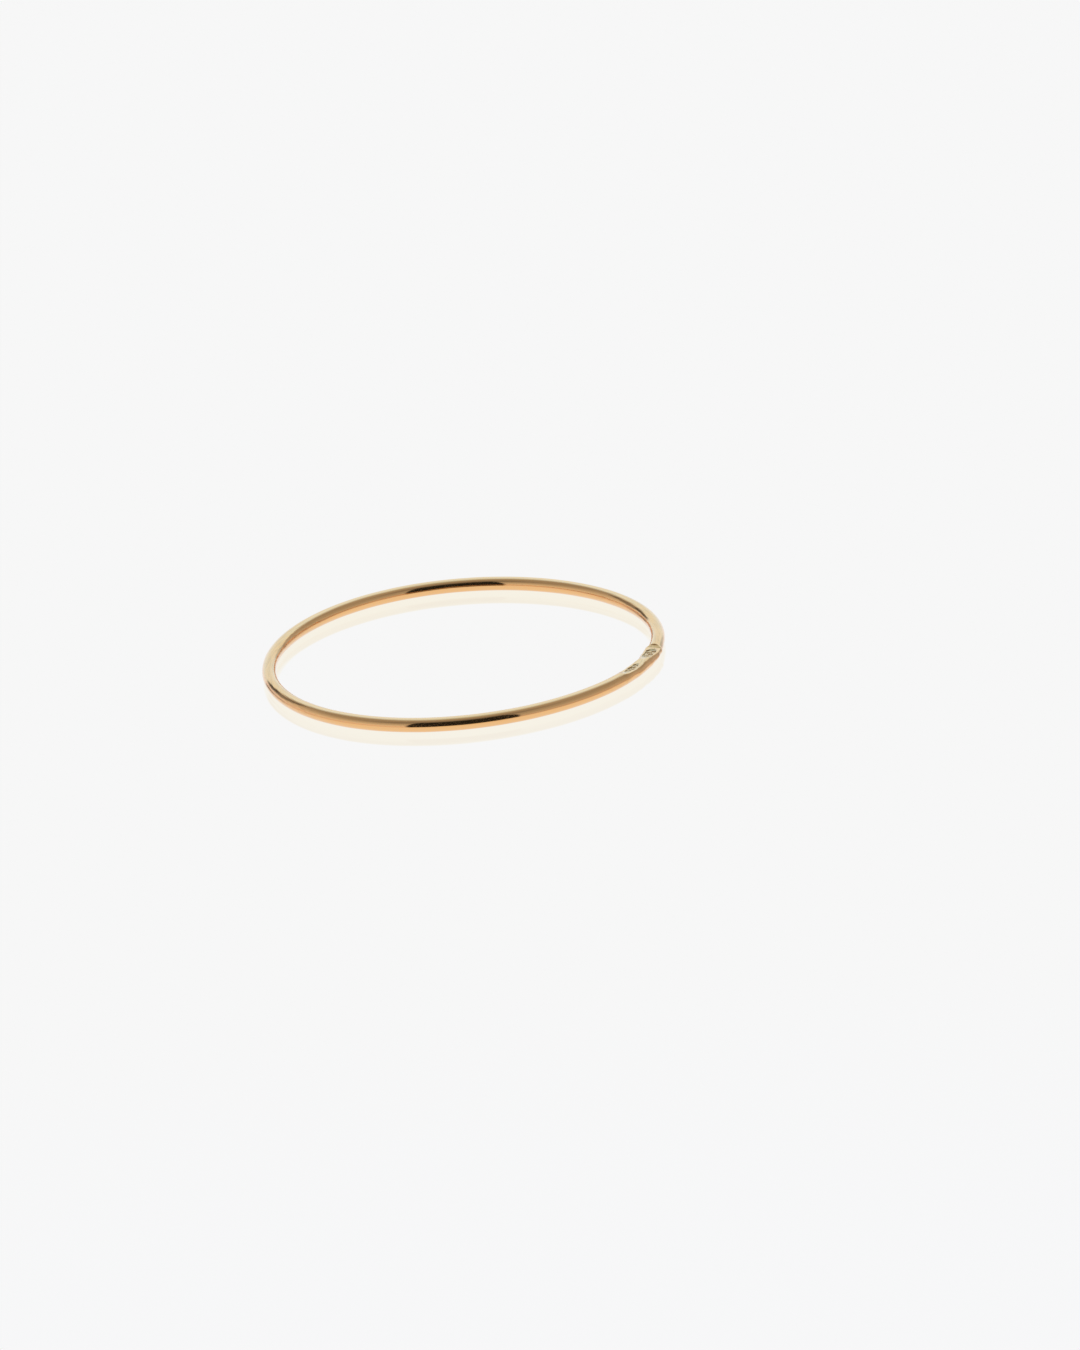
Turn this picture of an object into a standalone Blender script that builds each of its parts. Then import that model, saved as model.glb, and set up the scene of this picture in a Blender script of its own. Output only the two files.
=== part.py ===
"""A thin stackable ring: one closed loop of round gold wire, lying on its side.

Units are metres and +Z is up. The finger's hole runs along +Z through the origin, and the wire
rests on z = 0. The loop was rounded by hand, so it stands a little off a true circle in three
places. Two punches were struck side by side into the upper face, at the right-hand front. Each
blow pressed the wire flat on top, pushed some metal sideways and left a shallow mark with a row
of raised beads in it, and the block underneath flattened the wire's lower side a little.
"""

import math

import bmesh
import bpy

# Driving dimensions of the loop
BORE_DIAMETER = 0.0170
WIRE_DIAMETER = 0.00065
LOBE_HEIGHT = 0.00007
LOBE_TURN = math.radians(20)

# Driving dimensions of the struck stretch, measured along the middle of the wire. PUNCH_LEAN is
# the slope of the flat across the wire, where the punch leant outwards the most. The spread
# metal bulges beside the flat and fades out below the wire's middle, by a share of its radius.
STRUCK_START = math.radians(-13)
STRUCK_LENGTH = 0.0039
PRESS_DEPTH = 0.00011
PUNCH_LEAN = 0.12
SPREAD = 0.00007
ANVIL_DEPTH = 0.00003
MARK_DEPTH = 0.00005
MARK_WALL = 0.00005
BEAD_HEIGHT = 0.000035
SPREAD_FADE = 1.0

# How far a blow pressed the wire and spread it, by place along the struck stretch.
# Columns: place, as a share of STRUCK_LENGTH; press, of PRESS_DEPTH; how far the punch leant
# outwards, of PUNCH_LEAN; the metal pushed into the bore, of SPREAD; and outwards, of SPREAD.
BLOW_PROFILE = [
    (0.00, 0.00, 0.00, 0.00, 0.00),
    (0.03, 0.10, 0.10, 0.20, 0.10),
    (0.04, 0.48, 0.40, 0.50, 0.25),
    (0.08, 1.20, 0.80, 1.50, 0.80),
    (0.20, 1.15, 0.30, 1.40, 0.90),
    (0.32, 0.95, -0.40, 1.00, 0.80),
    (0.44, 0.45, -0.30, 0.10, 0.70),
    (0.51, 0.15, 0.00, 0.00, 0.60),
    (0.60, 0.75, 0.20, 0.10, 0.50),
    (0.77, 0.95, 0.20, 0.20, 0.40),
    (0.91, 0.70, 0.00, 0.10, 0.30),
    (1.00, 0.00, 0.00, 0.00, 0.00),
]

# The two marks. Columns: start and end, as shares of STRUCK_LENGTH; width, as a share of the
# flat's width; squareness of the outline, where 2 is an oval; and the number of raised beads.
MARKS = [
    (0.10, 0.45, 0.82, 3.0, 5),
    (0.59, 0.92, 0.62, 2.2, 5),
]

# How finely the loop is faceted: points round a section, how many of them lie on the struck
# flat, and the plain sections. A mark's ends are never narrower than a share of its width, and
# the columns on a flat without a mark stand at a share of its half width.
SECTION_POINTS = 24
TOP_COLUMNS = 8
PLAIN_SECTIONS = 108
NARROWEST_MARK = 0.45
BARE_COLUMNS = 0.35

# Gold of the wire
GOLD_COLOUR = (0.83, 0.60, 0.31, 1.0)
GOLD_ROUGHNESS = 0.16

wire_radius = WIRE_DIAMETER / 2
loop_radius = BORE_DIAMETER / 2 + wire_radius


def clear_scene():
    """Removes whatever the file holds."""
    for thing in list(bpy.data.objects):
        bpy.data.objects.remove(thing)


def loop_radius_at(angle):
    """The radius of the wire's middle line. The lobes leave the loop centred on the origin."""
    lobes = math.cos(3 * angle + LOBE_TURN) - math.cos(angle - LOBE_TURN)
    return loop_radius + LOBE_HEIGHT * lobes


def blow_at(place):
    """Press, lean, inward and outward spread at a place that is a share of STRUCK_LENGTH."""
    if not BLOW_PROFILE[0][0] < place < BLOW_PROFILE[-1][0]:
        return 0.0, 0.0, 0.0, 0.0
    low, high = next(pair for pair in zip(BLOW_PROFILE, BLOW_PROFILE[1:]) if place <= pair[1][0])
    share = (place - low[0]) / (high[0] - low[0])
    return tuple(a + (b - a) * share for a, b in zip(low[1:], high[1:]))


def mark_stations(mark):
    """The sections of one mark: (place, width, recess depth, bead height)."""
    start, end, width, squareness, beads = mark
    wall = MARK_WALL / STRUCK_LENGTH
    steps = 2 * beads + 2
    stations = [(start, width * NARROWEST_MARK, 0.0, 0.0)]
    for step in range(steps + 1):
        place = start + wall + (end - start - 2 * wall) * step / steps
        off_middle = abs(2 * (place - start) / (end - start) - 1)
        outline = (1 - off_middle**squareness) ** (1 / squareness)
        raised = BEAD_HEIGHT if step % 2 == 0 and 0 < step < steps else 0.0
        stations.append((place, width * max(outline, NARROWEST_MARK), MARK_DEPTH, raised))
    stations.append((end, width * NARROWEST_MARK, 0.0, 0.0))
    return stations


def struck_stations():
    """Every section of the struck stretch, in order, the bare flats between the marks too."""
    stations = [station for mark in MARKS for station in mark_stations(mark)]
    taken = [station[0] for station in stations]
    near = MARK_WALL / STRUCK_LENGTH / 2
    for row in BLOW_PROFILE:
        in_mark = any(mark[0] - near < row[0] < mark[1] + near for mark in MARKS)
        if not in_mark and min(abs(row[0] - place) for place in taken) > near:
            stations.append((row[0], BARE_COLUMNS, 0.0, 0.0))
    return sorted(stations)


def plain_section():
    """The round wire as (outwards, up) from its middle, with a true flat above and below."""
    step = 2 * math.pi / SECTION_POINTS
    corner_radius = wire_radius / math.cos(step / 2)
    first = math.pi / 2 + step * (TOP_COLUMNS - 1) / 2
    turns = [first - step * number for number in range(SECTION_POINTS)]
    return [(corner_radius * math.cos(turn), corner_radius * math.sin(turn)) for turn in turns]


def top_columns(press_depth, width, recess, raised):
    """The pressed flat from the bore side outwards, with the mark's walls and floor in it."""
    height = wire_radius - press_depth
    half = math.sqrt(wire_radius**2 - height**2)
    foot = half * width
    rim = foot + min(MARK_WALL, (half - foot) / 2)
    floor = height - recess
    bead = floor + raised
    outer = [(foot / 3, bead), (foot, floor), (rim, height), (half, height)]
    return [(-across, up) for across, up in reversed(outer)] + outer


def struck_section(station):
    """The wire's section where it was struck, as (outwards, up) from the middle of the wire."""
    place, width, recess, raised = station
    press, lean, spread_in, spread_out = blow_at(place)
    flat = top_columns(PRESS_DEPTH * max(press, 1.0), width, recess, raised)
    flattened = min(press, 1.0)
    lowest = ANVIL_DEPTH * press - wire_radius
    section = []
    for number, (across, up) in enumerate(plain_section()):
        if number < TOP_COLUMNS:
            across += (flat[number][0] - across) * flattened
            up += (flat[number][1] - up) * flattened - PUNCH_LEAN * lean * across
        spread = spread_out if across > 0 else spread_in
        fade = min(1.0, max(0.0, SPREAD_FADE + up / wire_radius))
        across += SPREAD * spread * fade * across / wire_radius
        section.append((across, max(up, lowest)))
    return section


def place_section(bm, angle, section):
    """One ring of vertices, standing in the plane through the finger's axis."""
    middle = loop_radius_at(angle)
    corners = []
    for across, up in section:
        reach = middle + across
        corner = (reach * math.cos(angle), reach * math.sin(angle), wire_radius + up)
        corners.append(bm.verts.new(corner))
    return corners


def wire_loop():
    """The whole loop: a loft through the struck sections, then round through the plain ones."""
    bm = bmesh.new()
    turn = STRUCK_LENGTH / loop_radius
    rings = []
    for station in struck_stations():
        rings.append(place_section(bm, STRUCK_START - turn * station[0], struck_section(station)))
    plain_turn = 2 * math.pi - turn
    for number in range(1, PLAIN_SECTIONS):
        angle = STRUCK_START - turn - plain_turn * number / PLAIN_SECTIONS
        rings.append(place_section(bm, angle, plain_section()))
    for number, ring in enumerate(rings):
        following = rings[(number + 1) % len(rings)]
        for side in range(SECTION_POINTS):
            far = (side + 1) % SECTION_POINTS
            bm.faces.new((ring[side], following[side], following[far], ring[far]))
    bmesh.ops.recalc_face_normals(bm, faces=bm.faces)
    mesh = bpy.data.meshes.new("ring_band")
    bm.to_mesh(mesh)
    bm.free()
    mesh.shade_smooth()
    mesh.set_sharp_from_angle(angle=math.radians(30))
    return mesh


def gold():
    """Polished yellow gold."""
    material = bpy.data.materials.new("ring_gold")
    material.use_nodes = True
    shader = material.node_tree.nodes["Principled BSDF"]
    shader.inputs["Base Color"].default_value = GOLD_COLOUR
    shader.inputs["Metallic"].default_value = 1.0
    shader.inputs["Roughness"].default_value = GOLD_ROUGHNESS
    return material


def main():
    clear_scene()
    parts = bpy.data.collections.new("stackable_ring")
    bpy.context.scene.collection.children.link(parts)
    band = bpy.data.objects.new("ring_band", wire_loop())
    band.data.materials.append(gold())
    parts.objects.link(band)


main()
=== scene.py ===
# %% [markdown]
# # A thin stackable ring
# The object is one closed loop of round gold wire, lying on its side. Two punches were struck side
# by side into its upper face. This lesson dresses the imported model: it makes a finer loop with
# Geometry Nodes, strikes the marks into its mesh, and gives it worn, polished gold.
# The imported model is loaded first, because it fixes where everything is, in metres with +Z up.

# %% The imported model
import math

import bpy
import numpy as np
from mathutils import Matrix, Vector, noise


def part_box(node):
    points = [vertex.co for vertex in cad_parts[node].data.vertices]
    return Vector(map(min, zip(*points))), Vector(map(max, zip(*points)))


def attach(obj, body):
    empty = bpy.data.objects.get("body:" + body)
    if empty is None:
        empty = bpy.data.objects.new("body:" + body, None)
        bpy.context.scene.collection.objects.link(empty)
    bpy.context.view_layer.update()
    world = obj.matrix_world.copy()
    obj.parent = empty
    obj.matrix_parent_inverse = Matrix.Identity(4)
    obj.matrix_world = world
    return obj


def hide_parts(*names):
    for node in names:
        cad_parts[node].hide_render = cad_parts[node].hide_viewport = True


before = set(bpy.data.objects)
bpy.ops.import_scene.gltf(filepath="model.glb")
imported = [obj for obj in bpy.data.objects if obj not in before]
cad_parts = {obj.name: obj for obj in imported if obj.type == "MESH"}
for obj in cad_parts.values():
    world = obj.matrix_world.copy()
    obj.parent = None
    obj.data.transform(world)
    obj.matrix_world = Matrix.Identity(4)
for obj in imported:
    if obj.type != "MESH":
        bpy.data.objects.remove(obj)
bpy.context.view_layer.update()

low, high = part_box("ring_band")
print("packed ring, in mm:", [round(1000 * (b - a), 3) for a, b in zip(low, high)])

# %% [markdown]
# ## Sizes of the wire and of the blows
# A ring like this is drawn wire, bent round a mandrel and soldered. Its shape has three rules: the
# wire's thickness, the finger's bore, and a small three-lobed error left by rounding it by hand.
# The blows add a flat, some metal pushed sideways, and two sunk marks. The same named sizes drive
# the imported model, so the fine loop made here lies exactly where that one does.

# %% Sizes in metres and angles in radians
# The loop: its bore and wire, and the height and the direction of its lobes
BORE_DIAMETER = 0.0170
WIRE_DIAMETER = 0.00065
LOBE_HEIGHT = 0.00007
LOBE_TURN = math.radians(20)

# The struck stretch, measured along the middle of the wire. PUNCH_LEAN is the slope of the flat
# across the wire, where the punch leant outwards the most. The spread metal fades out below the
# wire's middle, by a share of its radius
STRUCK_START = math.radians(-13)
STRUCK_LENGTH = 0.0039
PRESS_DEPTH = 0.00011
PUNCH_LEAN = 0.12
SPREAD = 0.00007
ANVIL_DEPTH = 0.00003
MARK_DEPTH = 0.00005
MARK_WALL = 0.00005
BEAD_HEIGHT = 0.000035
SPREAD_FADE = 1.0

wire_radius = WIRE_DIAMETER / 2
loop_radius = BORE_DIAMETER / 2 + wire_radius
struck_turn = STRUCK_LENGTH / loop_radius
print("loop of", round(2000 * math.pi * loop_radius, 2), "mm, struck over", 1000 * STRUCK_LENGTH, "mm")

# %% [markdown]
# ## The camera
# The photographer stood low and used a long lens, so the loop shows as a narrow ellipse. The
# camera could be placed by eye, but the ellipse fixes it: its width gives the distance, its
# height the angle above the ring's plane, and its slope the camera's roll. So the camera is
# worked out from the ring's middle and radius in the picture.

# %% Camera
PICTURE_SIZE = (1080, 1350)
RING_MIDDLE_PIXEL = (463.344, 651.652)
RING_RADIUS_PIXELS = 194.990
LENS_MM = 160.0
FILM_MM = 36.0
CAMERA_ELEVATION = math.radians(20.84)
CAMERA_ROLL = math.radians(-5.327)


def photograph_camera():
    """A camera that sees the ring's middle and radius where the picture has them."""
    data = bpy.data.cameras.new("camera")
    data.lens = LENS_MM
    data.sensor_width = FILM_MM
    data.clip_start = 0.01
    data.clip_end = 10.0
    camera = bpy.data.objects.new("camera", data)
    bpy.context.scene.collection.objects.link(camera)
    pixels_per_radian = PICTURE_SIZE[1] * LENS_MM / FILM_MM
    distance = pixels_per_radian * loop_radius / RING_RADIUS_PIXELS
    right = (RING_MIDDLE_PIXEL[0] - PICTURE_SIZE[0] / 2) / pixels_per_radian * distance
    up = (PICTURE_SIZE[1] / 2 - RING_MIDDLE_PIXEL[1]) / pixels_per_radian * distance
    tilt = Matrix.Rotation(math.pi / 2 - CAMERA_ELEVATION, 4, "X")
    turn = tilt @ Matrix.Rotation(CAMERA_ROLL, 4, "Z")
    place = Vector((0, 0, wire_radius)) - turn @ Vector((right, up, -distance))
    camera.matrix_world = Matrix.Translation(place) @ turn
    bpy.context.scene.camera = camera
    return camera


camera = photograph_camera()
print("camera at", [round(1000 * x, 1) for x in camera.matrix_world.translation], "mm")

# %% [markdown]
# ## Node maths as Python expressions
# Light, floor and gold are all node trees, and so is the shape of the loop. A tree can be clicked
# together, or made one node at a time with long lines of links. Here a small class wraps a socket,
# so that `1 - mask * 0.5` adds the Math nodes by itself, and one method makes every other node.


# %% Signal and Recipe
class Signal:
    """One output of a node. Arithmetic on it adds Math nodes to the same tree."""

    def __init__(self, recipe, socket):
        self.recipe = recipe
        self.socket = socket

    def math(self, operation, *others):
        values = dict(enumerate((self, *others)))
        return self.recipe.add("ShaderNodeMath", {"operation": operation}, values)

    def out(self, name):
        """Another output of the same node."""
        return Signal(self.recipe, self.socket.node.outputs[name])

    def ease(self, start, end):
        """A smooth step from 0 at start to 1 at end."""
        settings = {"interpolation_type": "SMOOTHSTEP"}
        sockets = {"Value": self, "From Min": start, "From Max": end}
        return self.recipe.add("ShaderNodeMapRange", settings, sockets)

    def __add__(self, other):
        return self.math("ADD", other)

    __radd__ = __add__

    def __sub__(self, other):
        return self.math("SUBTRACT", other)

    def __rsub__(self, other):
        return self.math("MULTIPLY_ADD", -1.0, other)

    def __mul__(self, other):
        return self.math("MULTIPLY", other)

    __rmul__ = __mul__

    def __truediv__(self, other):
        return self.math("DIVIDE", other)

    def __rtruediv__(self, other):
        return self.recipe.add("ShaderNodeMath", {"operation": "DIVIDE"}, {0: other, 1: self})

    def __pow__(self, other):
        return self.math("POWER", other)


class Recipe:
    """Builds one node tree."""

    def __init__(self, tree):
        self.tree = tree
        tree.nodes.clear()

    def add(self, kind, settings=None, sockets=None, output=0):
        """Makes a node of a kind, sets its settings, then fills its sockets, and gives an output."""
        made = self.tree.nodes.new(kind)
        for name, value in (settings or {}).items():
            if name == "stops":
                self.fill_ramp(made.color_ramp, value)
            else:
                setattr(made, name, value)
        for name, value in (sockets or {}).items():
            if isinstance(value, Signal):
                self.tree.links.new(value.socket, made.inputs[name])
            else:
                made.inputs[name].default_value = value
        return Signal(self, made.outputs[output]) if made.outputs else None

    def fill_ramp(self, ramp, stops):
        """Gives a ramp one stop for each (place, brightness or colour)."""
        while len(ramp.elements) < len(stops):
            ramp.elements.new(1.0)
        for element, (place, value) in zip(ramp.elements, stops):
            element.position = place
            element.color = value if isinstance(value, tuple) else (value, value, value, 1.0)

    def vector(self, x, y, z):
        return self.add("ShaderNodeCombineXYZ", None, {"X": x, "Y": y, "Z": z})

    def mix(self, share, first, second):
        """A colour between two others. The node's colours are its inputs 6 and 7 and output 2."""
        sockets = {0: share, 6: first, 7: second}
        return self.add("ShaderNodeMix", {"data_type": "RGBA"}, sockets, 2)


print("node helpers:", Signal.__name__, "and", Recipe.__name__)

# %% [markdown]
# ## The light
# Polished metal shows nothing but its surroundings, so the light is what gives gold its bands. In
# the picture the wire reflects a bright sweep behind it, dimmer sides that fall off upwards, and
# the dark room round the camera, which is the short black streak on the front. Cards and lamps
# could stand round the ring, but they would block the view from other sides. A world whose
# brightness depends only on direction gives the same reflections, with nothing in the way. Its
# sweep is white low down, cooler and brighter above that, and dim overhead. A few dim places
# beside the sweep darken the wire's left and right ends.

# %% Sizes of the light
# Brightness by elevation in degrees on the left and the right of the ring, and the sine of the
# angle over which the two blend
SIDES_BLEND = 0.5
LEFT_LIGHT = [(-90, 0.90), (-4, 0.86), (4, 0.77), (20, 0.60), (34, 0.45), (46, 0.35), (90, 0.36)]
RIGHT_LIGHT = [(-90, 0.90), (-4, 0.60), (4, 0.54), (20, 0.44), (45, 0.37), (90, 0.42)]

# The sweep's colour by elevation in degrees, even up to where the floor mirrors it to the camera
SWEEP_COLOUR = (0.86, 0.99, 1.00, 1.0)
SWEEP_LIGHT = [
    (-90, SWEEP_COLOUR),
    (24, SWEEP_COLOUR),
    (32, (0.89, 1.16, 1.36, 1.0)),
    (44, (0.87, 1.18, 1.54, 1.0)),
    (56, (0.82, 1.11, 1.46, 1.0)),
    (68, (0.73, 0.97, 1.22, 1.0)),
    (80, (0.53, 0.68, 0.80, 1.0)),
    (90, (0.40, 0.50, 0.54, 1.0)),
]

# The sweep's direction, half width and soft edge. Higher up it gets wider and softer: between
# the first two elevations, by the third angle
SWEEP_MIDDLE = math.radians(86)
SWEEP_HALF_WIDTH = math.radians(37)
SWEEP_WIDENS = (math.radians(55), math.radians(85), math.radians(20))
SWEEP_EDGE = math.radians(3)
SWEEP_SOFTENS = (math.radians(20), math.radians(60), math.radians(28))

# The dark room round the camera: its brightness, direction, half width, edge, and the elevations
# between which it ends
ROOM_DARK = 0.02
ROOM_MIDDLE = math.radians(-91)
ROOM_HALF_WIDTH = math.radians(31)
ROOM_EDGE = math.radians(1.5)
ROOM_TOP = (math.radians(46), math.radians(62))

# The ceiling over the camera: the share of the light that it takes away, and the parts of a
# direction, towards the camera and up, over which it comes in
CEILING_DARK = 0.45
CEILING_NEAR = (0.05, 0.6)
CEILING_HIGH = (0.60, 0.85)

# Dim things beside the sweep. Columns: azimuth, elevation, half width and half height in
# degrees, and the share of the light that each one takes away. Each one fades out over a part
# of its size
DIM_FADE = (0.6, 1.1)
DIM_PLACES = [
    (128, 15, 9, 11, 0.80),
    (142, 24, 12, 18, 0.56),
    (53, 4, 12, 12, 0.32),
]
print("the sweep is", round(math.degrees(2 * SWEEP_HALF_WIDTH)), "degrees wide near the floor")


# %% Parts of the light
def light_by_height(recipe, height, levels):
    """Looks up a brightness by the sine of the elevation, from (degrees, brightness) rows."""
    stops = [(0.5 + 0.5 * math.sin(math.radians(angle)), level) for angle, level in levels]
    return recipe.add("ShaderNodeValToRGB", {"stops": stops}, {"Fac": height * 0.5 + 0.5})


def sweep_share(azimuth, elevation):
    """How much of the sweep lies in a direction, 0 to 1."""
    half_width = elevation.ease(*SWEEP_WIDENS[:2]) * SWEEP_WIDENS[2] + SWEEP_HALF_WIDTH
    edge = elevation.ease(*SWEEP_SOFTENS[:2]) * SWEEP_SOFTENS[2] + SWEEP_EDGE
    off_sweep = (azimuth - SWEEP_MIDDLE).math("ABSOLUTE") - half_width
    return 1 - (off_sweep / edge).ease(-1.0, 1.0)


def room_share(azimuth, elevation):
    """How much of the dark room lies in a direction, 0 to 1."""
    off_room = (azimuth - ROOM_MIDDLE).math("ABSOLUTE")
    room = 1 - off_room.ease(ROOM_HALF_WIDTH - ROOM_EDGE, ROOM_HALF_WIDTH + ROOM_EDGE)
    return room * (1 - elevation.ease(*ROOM_TOP))


def dimmed(strength, azimuth, elevation):
    """The strength of the light that the dim places leave."""
    for middle, height, half_width, half_height, dark in DIM_PLACES:
        aside = (azimuth - math.radians(middle)) / math.radians(half_width)
        above = (elevation - math.radians(height)) / math.radians(half_height)
        off = (aside * aside + above * above).math("SQRT")
        strength = strength * (1 - (1 - off.ease(*DIM_FADE)) * dark)
    return strength


print("dim places beside the sweep:", len(DIM_PLACES))


# %% The world
def studio_world():
    world = bpy.data.worlds.new("studio_world")
    world.use_nodes = True
    recipe = Recipe(world.node_tree)
    direction = recipe.add("ShaderNodeTexCoord").out("Generated")
    x = recipe.add("ShaderNodeSeparateXYZ", None, {"Vector": direction})
    y, z = x.out("Y"), x.out("Z")
    azimuth = y.math("ARCTAN2", x)
    elevation = z.math("ARCSINE")
    left = light_by_height(recipe, z, LEFT_LIGHT)
    right = light_by_height(recipe, z, RIGHT_LIGHT)
    sweep = light_by_height(recipe, z, SWEEP_LIGHT)
    sides = recipe.mix(x.ease(-SIDES_BLEND, SIDES_BLEND), left, right)
    light = recipe.mix(sweep_share(azimuth, elevation), sides, sweep)
    dark = (ROOM_DARK, ROOM_DARK, ROOM_DARK, 1.0)
    light = recipe.mix(room_share(azimuth, elevation), light, dark)
    ceiling = (y * -1).ease(*CEILING_NEAR) * z.ease(*CEILING_HIGH)
    strength = dimmed(1 - ceiling * CEILING_DARK, azimuth, elevation)
    shade = recipe.add("ShaderNodeBackground", None, {"Color": light, "Strength": strength})
    recipe.add("ShaderNodeOutputWorld", None, {"Surface": shade})
    bpy.context.scene.world = world
    return world


world = studio_world()
bpy.context.scene.view_settings.view_transform = "Standard"
print("world light with", len(world.node_tree.nodes), "nodes")

# %% [markdown]
# ## The floor
# The ring lies on white acrylic lit from below, so there is no shadow at all, only a faint mirror
# image of the wire. A white diffuse floor would go grey and cast a contact shadow. So the floor
# glows by itself, and a glossy film over the glow mirrors more at grazing angles, as acrylic does.
# The picture was exposed until red and green were nearly full, which leaves the mirror image
# cream. So the film mirrors blue most, and glows with the red and green that it doesn't mirror.
# At still lower angles the floor becomes a plain mirror.

# %% Sizes and shares of the floor
# The floor lies a hair under the wire, so that the two faces don't meet
FLOOR_RADIUS = 0.6
FLOOR_SIDES = 96
FLOOR_DROP = 0.000005
FLOOR_LIGHT = 0.93
FLOOR_GLOSS = 0.04

# The film's tint. Its share grows as a power of how grazing the view is, up to the most it gets,
# and the plain mirror takes over from one grazing share to another
FILM_TINT = (0.18, 0.44, 0.93, 1.0)
FILM_STRENGTH = 4.6
FILM_POWER = 7.0
FILM_MOST = 0.22
MIRROR_GRAZING = (0.68, 0.84)
print("floor radius", FLOOR_RADIUS, "m, film up to", FILM_MOST)


# %% Floor
def acrylic():
    """Glows evenly, and mirrors the sweep at the same brightness, so the floor has no edge."""
    material = bpy.data.materials.new("lit_acrylic")
    material.use_nodes = True
    recipe = Recipe(material.node_tree)
    even = (FLOOR_LIGHT, FLOOR_LIGHT, FLOOR_LIGHT, 1.0)
    film_rest = tuple(FLOOR_LIGHT - a * b for a, b in zip(FILM_TINT[:3], SWEEP_COLOUR)) + (1.0,)
    mirror_tint = tuple(FLOOR_LIGHT / part for part in SWEEP_COLOUR[:3]) + (1.0,)
    glow, film_glow = (
        recipe.add("ShaderNodeEmission", None, {"Color": colour}) for colour in (even, film_rest)
    )
    film_gloss, mirror = (
        recipe.add("ShaderNodeBsdfGlossy", None, {"Color": colour, "Roughness": FLOOR_GLOSS})
        for colour in (FILM_TINT, mirror_tint)
    )
    film = recipe.add("ShaderNodeAddShader", None, {0: film_gloss, 1: film_glow})
    grazing = recipe.add("ShaderNodeLayerWeight", None, {"Blend": 0.5}, "Facing")
    share = (grazing**FILM_POWER * FILM_STRENGTH).math("MINIMUM", FILM_MOST)
    shade = recipe.add("ShaderNodeMixShader", None, {0: share, 1: glow, 2: film})
    share = grazing.ease(*MIRROR_GRAZING)
    shade = recipe.add("ShaderNodeMixShader", None, {0: share, 1: shade, 2: mirror})
    recipe.add("ShaderNodeOutputMaterial", None, {"Surface": shade})
    return material


def floor():
    """A disc of the acrylic."""
    bpy.ops.mesh.primitive_circle_add(vertices=FLOOR_SIDES, radius=FLOOR_RADIUS, fill_type="NGON")
    disc = bpy.context.object
    disc.name = "floor"
    disc.location.z = -FLOOR_DROP
    disc.data.materials.append(acrylic())
    return disc


print("floor:", floor().name)

# %% [markdown]
# ## The gold
# Real 14 carat gold wire is smooth but not perfect: it keeps long drawing lines from the die, and
# darker, slanting hairlines from wear at the left and right ends of the loop. Tarnish stays in
# the struck marks, most of all along their rims, where no cloth reaches. An image texture could
# paint these, but noise that is stretched along the wire does it at any size. The noise is read
# in four dimensions, along the loop and round the wire's section, so it has no seam anywhere.
# A clear coat stands for the white sheen that polished gold shows at its edges.

# %% Colours and sizes of the finish
GOLD_COLOUR = (0.900, 0.512, 0.200, 1.0)
TARNISH_COLOUR = (0.36, 0.215, 0.055, 1.0)
COAT_IOR = 1.6
COAT_ROUGHNESS = 0.04

# Tarnish: how strong it is in the marks, in patches there, along their rims and in the hairlines
MARK_TARNISH = 0.50
PATCH_TARNISH = 0.20
RIM_TARNISH = 0.80
LINE_TARNISH = 0.32

# Lines along the wire: their width, length and height, and the hairlines' slant. The hairlines
# lie at the ends, over a share of the loop's radius
DRAWING_LINE = 0.000060
DRAWING_LENGTH = 0.0030
LINE_HEIGHT = 0.0000010
HAIRLINE = 0.000042
HAIRLINE_LENGTH = 0.00130
HAIRLINE_SLANT = 0.12
HAIRLINE_HEIGHT = 0.0000060
ENDS = (0.55, 0.95)

# Pits, and patches of wear a little over a millimetre across
PIT_SIZE = 0.00006
PIT_DEPTH = 0.000004
PATCHES_PER_METRE = 900.0

# Levels of the noise between which pits, dirt and dark hairlines come in
PIT_SPOTS = (0.62, 0.72)
PIT_PATCHES = (0.55, 0.70)
DIRT_SPOTS = (0.40, 0.62)
DIRT_PATCHES = (0.35, 0.60)
DARK_HAIRLINES = (0.45, 0.70)

# Roughness of the polish, and what wear at the ends, patches and marks add to it
POLISH_ROUGHNESS = 0.035
END_ROUGHNESS = 0.05
PATCH_ROUGHNESS = 0.03
MARK_ROUGHNESS = 0.08
print("drawing lines", round(1e6 * DRAWING_LINE), "and hairlines", round(1e6 * HAIRLINE), "microns wide")


# %% Gold
def wire_place(recipe):
    """Object coordinates turned into (x, y, across, up): along the loop and over the section."""
    coordinates = recipe.add("ShaderNodeTexCoord").out("Object")
    x = recipe.add("ShaderNodeSeparateXYZ", None, {0: coordinates})
    y, z = x.out("Y"), x.out("Z")
    angle = y.math("ARCTAN2", x)
    lobes = (angle * 3 + LOBE_TURN).math("COSINE") - (angle - LOBE_TURN).math("COSINE")
    reach = (x * x + y * y).math("SQRT")
    across = reach - (lobes * LOBE_HEIGHT + loop_radius)
    return x, y, across, z - wire_radius


def streaks(recipe, place, width, length, slant=0.0):
    """Noise drawn out along the wire: lines of a width and a length, at a slant on the ends."""
    x, y, across, up = place
    run = recipe.vector(x / length, y / length, (across + y * slant) / width)
    sockets = {"Vector": run, "W": up / width, "Scale": 1.0, "Detail": 1.0}
    return recipe.add("ShaderNodeTexNoise", {"noise_dimensions": "4D"}, sockets)


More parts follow.
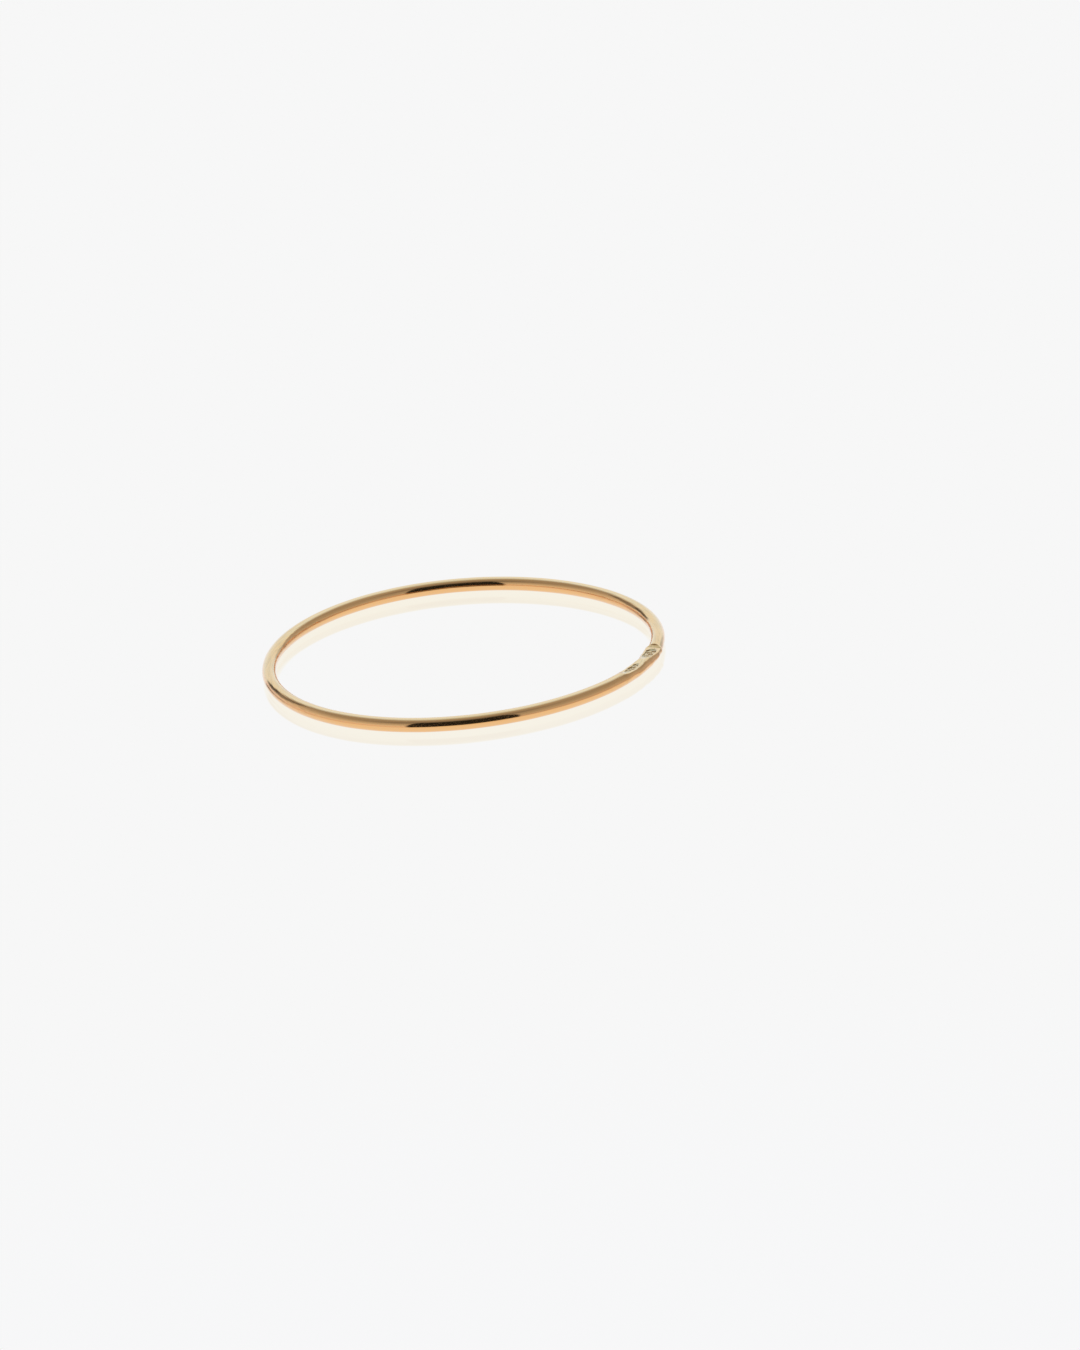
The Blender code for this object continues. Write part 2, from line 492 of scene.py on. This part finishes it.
def worn_gold():
    """Gold with lines, hairlines and pits in its bump, and tarnish in its colour."""
    material = bpy.data.materials.new("worn_gold")
    material.use_nodes = True
    recipe = Recipe(material.node_tree)
    place = wire_place(recipe)
    ends = (place[0] / loop_radius).math("ABSOLUTE").ease(*ENDS)
    drawing = streaks(recipe, place, DRAWING_LINE, DRAWING_LENGTH)
    hairlines = streaks(recipe, place, HAIRLINE, HAIRLINE_LENGTH, HAIRLINE_SLANT)
    patches = recipe.add("ShaderNodeTexNoise", None, {"Scale": PATCHES_PER_METRE, "Detail": 3.0})
    spots = recipe.add("ShaderNodeTexNoise", None, {"Scale": 1 / PIT_SIZE, "Detail": 1.0})
    pits = spots.ease(*PIT_SPOTS) * patches.ease(*PIT_PATCHES)
    height = drawing * LINE_HEIGHT + hairlines * ends * HAIRLINE_HEIGHT - pits * PIT_DEPTH
    bump = recipe.add("ShaderNodeBump", None, {"Strength": 1.0, "Distance": 1.0, "Height": height})
    # The mesh stores how deep in a mark a point lies, 0 to 1. Its rim is where that is halfway,
    # and 4 brings depth * (1 - depth) to 1 there
    struck = recipe.add("ShaderNodeAttribute", {"attribute_name": "struck"}, None, "Fac")
    dirt = spots.ease(*DIRT_SPOTS) * MARK_TARNISH + patches.ease(*DIRT_PATCHES) * PATCH_TARNISH
    dirt = struck * dirt + struck * (1 - struck) * 4 * RIM_TARNISH
    tarnish = dirt + ends * hairlines.ease(*DARK_HAIRLINES) * LINE_TARNISH
    rough = POLISH_ROUGHNESS + ends * END_ROUGHNESS + patches * PATCH_ROUGHNESS
    gold = {
        "Base Color": recipe.mix(tarnish, GOLD_COLOUR, TARNISH_COLOUR),
        "Roughness": rough + struck * MARK_ROUGHNESS,
        "Metallic": 1.0,
        "Coat Weight": 1.0,
        "Coat Roughness": COAT_ROUGHNESS,
        "Coat IOR": COAT_IOR,
        "Normal": bump,
    }
    shade = recipe.add("ShaderNodeBsdfPrincipled", None, gold)
    recipe.add("ShaderNodeOutputMaterial", None, {"Surface": shade})
    return material


gold = worn_gold()
print("gold with", len(gold.node_tree.nodes), "nodes")

# %% [markdown]
# ## The loop of wire
# The loop is a round wire swept along a nearly round path. A curve with a bevel would do for a
# plain ring, but here the stretch under the blows needs far finer steps than the rest. Geometry
# Nodes can give each point of the path its own angle from its index, so the fine steps go only
# where the punches fall. The surface of a hand-worked wire also waves by a few thousandths of a
# millimetre, which is what makes the reflections bend, and the tree adds that too.

# %% Steps and waves of the loop
# The fine steps reach past both ends of the struck stretch, by a share of its length
FINE_START = 0.06
FINE_STEPS = 264
PLAIN_STEPS = 400
SECTION_POINTS = 128
fine_turn = struck_turn * (1 + 2 * FINE_START)

# The surface's waves: their height, their size, and the seed of their noise
WAVE_HEIGHT = 0.0000060
WAVE_SIZE = 0.0012
WAVE_SEED = 1.7
print("fine steps of", round(1e6 * fine_turn * loop_radius / FINE_STEPS, 1), "microns")

# %% The loop as a node tree
# The tree's named inputs, with the values that the modifier gives them
LOOP_INPUTS = {
    "Loop Radius": loop_radius,
    "Wire Radius": wire_radius,
    "Lobe Height": LOBE_HEIGHT,
    "Lobe Turn": LOBE_TURN,
    "Fine Start": STRUCK_START + struck_turn * FINE_START,
    "Fine Turn": fine_turn,
    "Fine Steps": FINE_STEPS,
    "Plain Steps": PLAIN_STEPS,
    "Section Points": SECTION_POINTS,
    "Wave Height": WAVE_HEIGHT,
    "Wave Size": WAVE_SIZE,
    "Seed": WAVE_SEED,
    "Finish": gold,
}
SOCKET_KINDS = {float: "NodeSocketFloat", int: "NodeSocketInt", bpy.types.Material: "NodeSocketMaterial"}


def loop_tree():
    """The wire loop as a Geometry Nodes tree with the inputs above."""
    tree = bpy.data.node_groups.new("wire_loop", "GeometryNodeTree")
    tree.interface.new_socket(name="Geometry", in_out="OUTPUT", socket_type="NodeSocketGeometry")
    for name, value in LOOP_INPUTS.items():
        kind = SOCKET_KINDS[type(value)]
        tree.interface.new_socket(name=name, in_out="INPUT", socket_type=kind)
    recipe = Recipe(tree)
    given = recipe.add("NodeGroupInput")
    steps = given.out("Fine Steps") + given.out("Plain Steps")
    number = recipe.add("GeometryNodeInputIndex")
    fine = (number / given.out("Fine Steps")).math("MINIMUM", 1.0)
    plain = (number - given.out("Fine Steps")).math("MAXIMUM", 0.0) / given.out("Plain Steps")
    turned = given.out("Fine Turn") * fine + (2 * math.pi - given.out("Fine Turn")) * plain
    angle = given.out("Fine Start") - turned
    lobes = (angle * 3 + given.out("Lobe Turn")).math("COSINE")
    lobes = lobes - (angle - given.out("Lobe Turn")).math("COSINE")
    reach = given.out("Loop Radius") + given.out("Lobe Height") * lobes
    point = recipe.vector(
        reach * angle.math("COSINE"), reach * angle.math("SINE"), given.out("Wire Radius")
    )
    path = recipe.add("GeometryNodeCurvePrimitiveCircle", None, {"Resolution": steps})
    path = recipe.add("GeometryNodeSetPosition", None, {"Geometry": path, "Position": point})
    size = {"Resolution": given.out("Section Points"), "Radius": given.out("Wire Radius")}
    section = recipe.add("GeometryNodeCurvePrimitiveCircle", None, size)
    wire = recipe.add("GeometryNodeCurveToMesh", None, {"Curve": path, "Profile Curve": section})
    size = {"W": given.out("Seed"), "Scale": 1 / given.out("Wave Size"), "Detail": 1.0}
    waves = recipe.add("ShaderNodeTexNoise", {"noise_dimensions": "4D"}, size)
    lift = {"Vector": recipe.add("GeometryNodeInputNormal")}
    lift["Scale"] = (waves - 0.5) * 2 * given.out("Wave Height")
    offset = recipe.add("ShaderNodeVectorMath", {"operation": "SCALE"}, lift)
    wire = recipe.add("GeometryNodeSetPosition", None, {"Geometry": wire, "Offset": offset})
    wire = recipe.add("GeometryNodeRealizeInstances", None, {"Geometry": wire})
    finish = {"Geometry": wire, "Material": given.out("Finish")}
    wire = recipe.add("GeometryNodeSetMaterial", None, finish)
    recipe.add("NodeGroupOutput", None, {"Geometry": wire})
    return tree


# %% The loop as a plain mesh
def wire_loop(tree):
    """Runs the tree on an empty object and keeps the mesh that it makes."""
    ring = bpy.data.objects.new("ring_wire", bpy.data.meshes.new("ring_wire"))
    bpy.context.scene.collection.objects.link(ring)
    modifier = ring.modifiers.new("wire_loop", "NODES")
    modifier.node_group = tree
    for item in tree.interface.items_tree:
        if item.in_out == "INPUT":
            modifier[item.identifier] = LOOP_INPUTS[item.name]
    evaluated = ring.evaluated_get(bpy.context.evaluated_depsgraph_get())
    made = bpy.data.meshes.new_from_object(evaluated)
    ring.modifiers.remove(modifier)
    ring.data = made
    return ring


ring = wire_loop(loop_tree())
print("loop:", len(ring.data.vertices), "points,", len(ring.data.polygons), "faces")

# %% [markdown]
# ## The blows
# Each punch pressed the top of the wire flat, leaning a little to one side, pushed metal to both
# sides and sank a mark into the flat, while the block underneath flattened the lower side a
# little. In a mark stand plain raised beads, bent like crescents and set in turn nearer the bore
# and nearer the outside. A Boolean cut would leave sharp, lifeless edges. Struck metal flows, so
# every point of the stretch is moved by smooth functions of its place along the wire and across
# it. Noise makes the marks' outlines wander, their floors rough and the flanks bulge unevenly.

# %% How far the blows reach
# Columns: place, as a share of STRUCK_LENGTH; press, of PRESS_DEPTH; how far the punch leant
# outwards, of PUNCH_LEAN; the metal pushed into the bore, of SPREAD; and outwards, of SPREAD.
# The outside of the wire begins to swell before the first blow's edge
BLOW_PROFILE = np.array([
    (-0.18, 0.00, 0.00, 0.00, 0.00),
    (0.02, 0.00, 0.00, 0.10, 0.50),
    (0.03, 0.10, 0.10, 0.20, 0.60),
    (0.04, 0.48, 0.40, 0.50, 0.75),
    (0.08, 1.20, 0.80, 1.40, 1.10),
    (0.20, 1.15, 0.30, 1.30, 1.20),
    (0.32, 0.95, -0.40, 0.95, 1.00),
    (0.44, 0.45, -0.30, 0.05, 0.85),
    (0.51, 0.15, 0.00, 0.00, 0.75),
    (0.60, 0.75, 0.20, 0.10, 0.65),
    (0.77, 0.95, 0.20, 0.20, 0.50),
    (0.91, 0.70, 0.00, 0.10, 0.30),
    (1.00, 0.00, 0.00, 0.00, 0.00),
])

# Columns: start and end, as shares of STRUCK_LENGTH; width, as a share of the flat's width;
# squareness of the outline, where 2 is an oval; and the number of raised beads
MARKS = [
    (0.10, 0.45, 0.82, 3.0, 5),
    (0.59, 0.92, 0.62, 2.2, 5),
]
print("struck stretch:", len(BLOW_PROFILE), "places,", len(MARKS), "marks")

# %% Details of the marks
# The rounding where a flat meets the wire, and how quickly a blow takes hold along the wire. The
# depth that the gold's tarnish reads fades in above the wire's middle, by a share of its radius
SHOULDER = 0.000020
PRESS_HOLD = 4
MARK_UP = 0.4

# The raised lip round a mark, and how narrow it is beside the mark's wall
LIP_HEIGHT = 0.000006
LIP_NARROWNESS = 4

# A bead stands aside from the middle, fades out towards its ends, is bent, rises slowly on one
# side and drops quickly on the other. The first two are shares of the mark's half width
BEAD_STAGGER = 0.35
BEAD_FADE = (0.4, 0.85)
BEAD_BEND = 0.00012
BEAD_RISE = 0.00014
BEAD_DROP = 0.00004

# Unevenness: how far the marks' outlines wander, how rough their floors are and how far the
# flanks bulge, each with the size of its features and the layer of the noise that it reads
WANDER = 0.00004
WANDER_SIZE = 0.00020
WANDER_LAYER = 0
ROUGHNESS = 0.000010
ROUGHNESS_SIZE = 0.00006
ROUGHNESS_LAYER = 7
BULGE = 0.000024
BULGE_SIZE = 0.00050
BULGE_LAYER = 3
print("beads rise over", round(1e6 * BEAD_RISE), "microns, drop over", round(1e6 * BEAD_DROP))


# %% Soft steps and unevenness
def uneven(points, size, layer):
    """Smooth noise from -1 to 1 at every point, with features of a size. Layers differ."""
    return np.array([noise.noise(Vector(point) / size + Vector((0, 0, layer))) for point in points])


def ease(start, end, value):
    """A smooth step from 0 at start to 1 at end."""
    share = np.clip((value - start) / (end - start), 0, 1)
    return share * share * (3 - 2 * share)


def lower_of(first, second, blend):
    """The lower of two heights, rounded where they cross."""
    share = np.clip(0.5 + 0.5 * (second - first) / blend, 0, 1)
    return second + (first - second) * share - blend * share * (1 - share)


print("half a soft step:", ease(0, 1, 0.5))


# %% One mark
def mark_relief(place, across, press, mark):
    """Height that one mark adds to the flat, and how deep in the mark each point lies, 0 to 1."""
    start, end, width, squareness, beads = mark
    flat_height = wire_radius - PRESS_DEPTH * np.maximum(press, 1)
    half_width = np.sqrt(wire_radius**2 - flat_height**2) * width
    half_length = STRUCK_LENGTH * (end - start) / 2
    along = (place - (start + end) / 2) * STRUCK_LENGTH
    edge = np.abs(along / half_length) ** squareness + np.abs(across / half_width) ** squareness
    outside = (edge ** (1 / squareness) - 1) * half_width
    sunk = 1 - ease(-MARK_WALL, 0, outside)
    lip = np.exp(-((outside / MARK_WALL) ** 2) * LIP_NARROWNESS) * LIP_HEIGHT
    height = lip - MARK_DEPTH * sunk
    for number in range(beads):
        middle = half_length * (2 * (number + 1) / (beads + 1) - 1)
        aside = across / half_width - BEAD_STAGGER * (-1) ** number
        ahead = along - middle + BEAD_BEND * aside**2
        ridge = ease(-BEAD_RISE, 0, ahead) - ease(0, BEAD_DROP, ahead)
        height += BEAD_HEIGHT * ridge * sunk * (1 - ease(*BEAD_FADE, np.abs(aside)))
    return height, sunk


relief, _ = mark_relief(np.linspace(0, 1, 101), np.zeros(101), np.ones(101), MARKS[0])
print("first mark, from", round(1e6 * relief.min(), 1), "to", round(1e6 * relief.max(), 1), "microns")


# %% Striking some points
def struck_points(points):
    """Where the two blows move some points, and how deep in a mark each one lies, 0 to 1."""
    angle = np.arctan2(points[:, 1], points[:, 0])
    lobes = np.cos(3 * angle + LOBE_TURN) - np.cos(angle - LOBE_TURN)
    middle = loop_radius + LOBE_HEIGHT * lobes
    across = np.hypot(points[:, 0], points[:, 1]) - middle
    up = points[:, 2] - wire_radius
    place = (STRUCK_START - angle) / struck_turn
    press, lean, spread_in, spread_out = (
        np.interp(place, BLOW_PROFILE[:, 0], column) for column in BLOW_PROFILE[:, 1:].T
    )
    wander = WANDER * uneven(points, WANDER_SIZE, WANDER_LAYER)
    rough = ROUGHNESS * uneven(points, ROUGHNESS_SIZE, ROUGHNESS_LAYER)
    bulge = BULGE * uneven(points, BULGE_SIZE, BULGE_LAYER)
    flat = wire_radius - PRESS_DEPTH * press - PUNCH_LEAN * lean * across
    depth = np.zeros(len(points))
    for mark in MARKS:
        relief, sunk = mark_relief(place + wander / STRUCK_LENGTH, across + wander, press, mark)
        flat += (relief + rough * sunk) * np.minimum(press, 1)
        depth = np.maximum(depth, sunk)
    struck_up = lower_of(up, flat, SHOULDER)
    struck_up = -lower_of(-struck_up, wire_radius - ANVIL_DEPTH * press, SHOULDER)
    hold = np.minimum(1, press * PRESS_HOLD)
    up_now = up + (struck_up - up) * hold
    spread = SPREAD * np.where(across > 0, spread_out, spread_in) + bulge * hold
    fade = np.clip(SPREAD_FADE + up_now / wire_radius, 0, 1)
    reach = middle + (across + spread * fade * across / wire_radius)
    moved = np.stack((reach * np.cos(angle), reach * np.sin(angle), wire_radius + up_now), axis=1)
    return moved, depth * ease(0, MARK_UP, up / wire_radius)


# %% Striking the loop
def strike(mesh):
    """Moves the points of the struck stretch, and stores how deep in a mark each one lies."""
    points = np.empty(len(mesh.vertices) * 3)
    mesh.vertices.foreach_get("co", points)
    points = points.reshape(-1, 3)
    place = (STRUCK_START - np.arctan2(points[:, 1], points[:, 0])) / struck_turn
    touched = (place > BLOW_PROFILE[0, 0]) & (place < BLOW_PROFILE[-1, 0])
    depth = np.zeros(len(points), np.float32)
    points[touched], depth[touched] = struck_points(points[touched])
    mesh.vertices.foreach_set("co", points.ravel())
    mesh.attributes.new("struck", "FLOAT", "POINT").data.foreach_set("value", depth)
    mesh.update()
    return int(touched.sum())


print("points struck:", strike(ring.data))

# %% [markdown]
# ## Putting the ring in place
# The fine loop stands for the imported one, which stays for collision only, hidden. It rides on the
# one body that the object has, and its finish is the worn gold made above.

# %% Smooth, ride and hide the imported loop
ring.data.shade_smooth()
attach(ring, "root")
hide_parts("ring_band")
